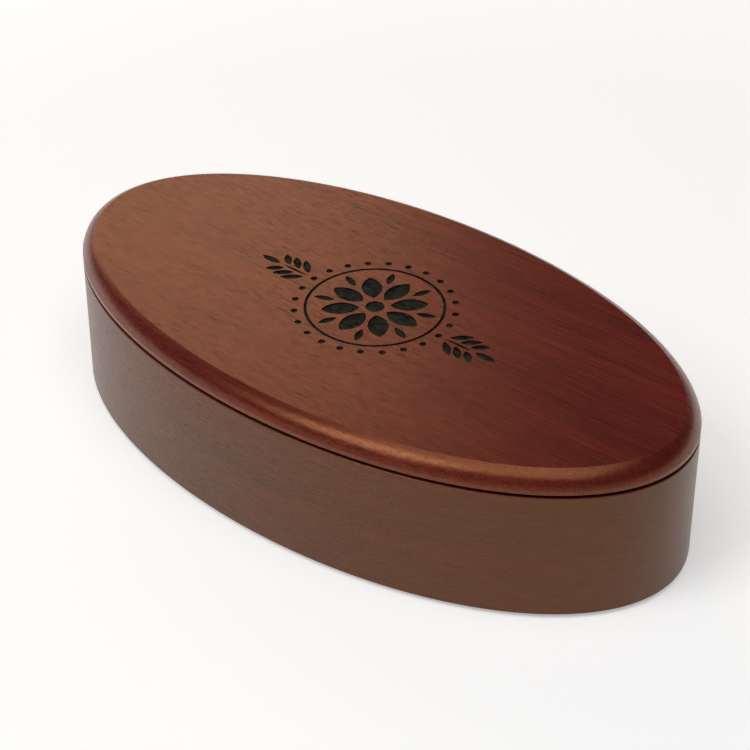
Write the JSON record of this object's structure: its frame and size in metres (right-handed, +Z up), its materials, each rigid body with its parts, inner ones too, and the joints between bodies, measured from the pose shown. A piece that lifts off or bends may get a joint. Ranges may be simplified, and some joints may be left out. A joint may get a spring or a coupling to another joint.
{
  "type": "oval wooden box",
  "caption": "Oval wooden keepsake box with a velvet floor and a lift-off lid that drops into a rabbet, with a convex bevelled edge and an engraved ornament.",
  "frame": {"origin": "middle of the underside, on the face of the felt that the box stands on", "axes": "+Z up through the lid, +X along the length of the oval, +Y along its width"},
  "size_m": [0.19, 0.102, 0.0432],
  "materials": {
    "stained_wood": "red-brown stain under satin lacquer",
    "plain_wood": "bare",
    "card": "uncoated",
    "velvet": "short pile",
    "felt": "pressed felt"
  },
  "bodies": {
    "base": {"base_wall": "stained_wood", "bottom_panel": "plain_wood", "floor_card": "card", "floor_velvet": "velvet", "underside_felt": "felt"},
    "lid": {"lid_panel": "stained_wood", "lid_card": "card", "lid_velvet": "velvet"}
  },
  "joints": [
    {"name": "lid_lift", "type": "slide", "parent": "base", "child": "lid", "axis": [0, 0, 1], "range_m": [0, 0.1]}
  ]
}
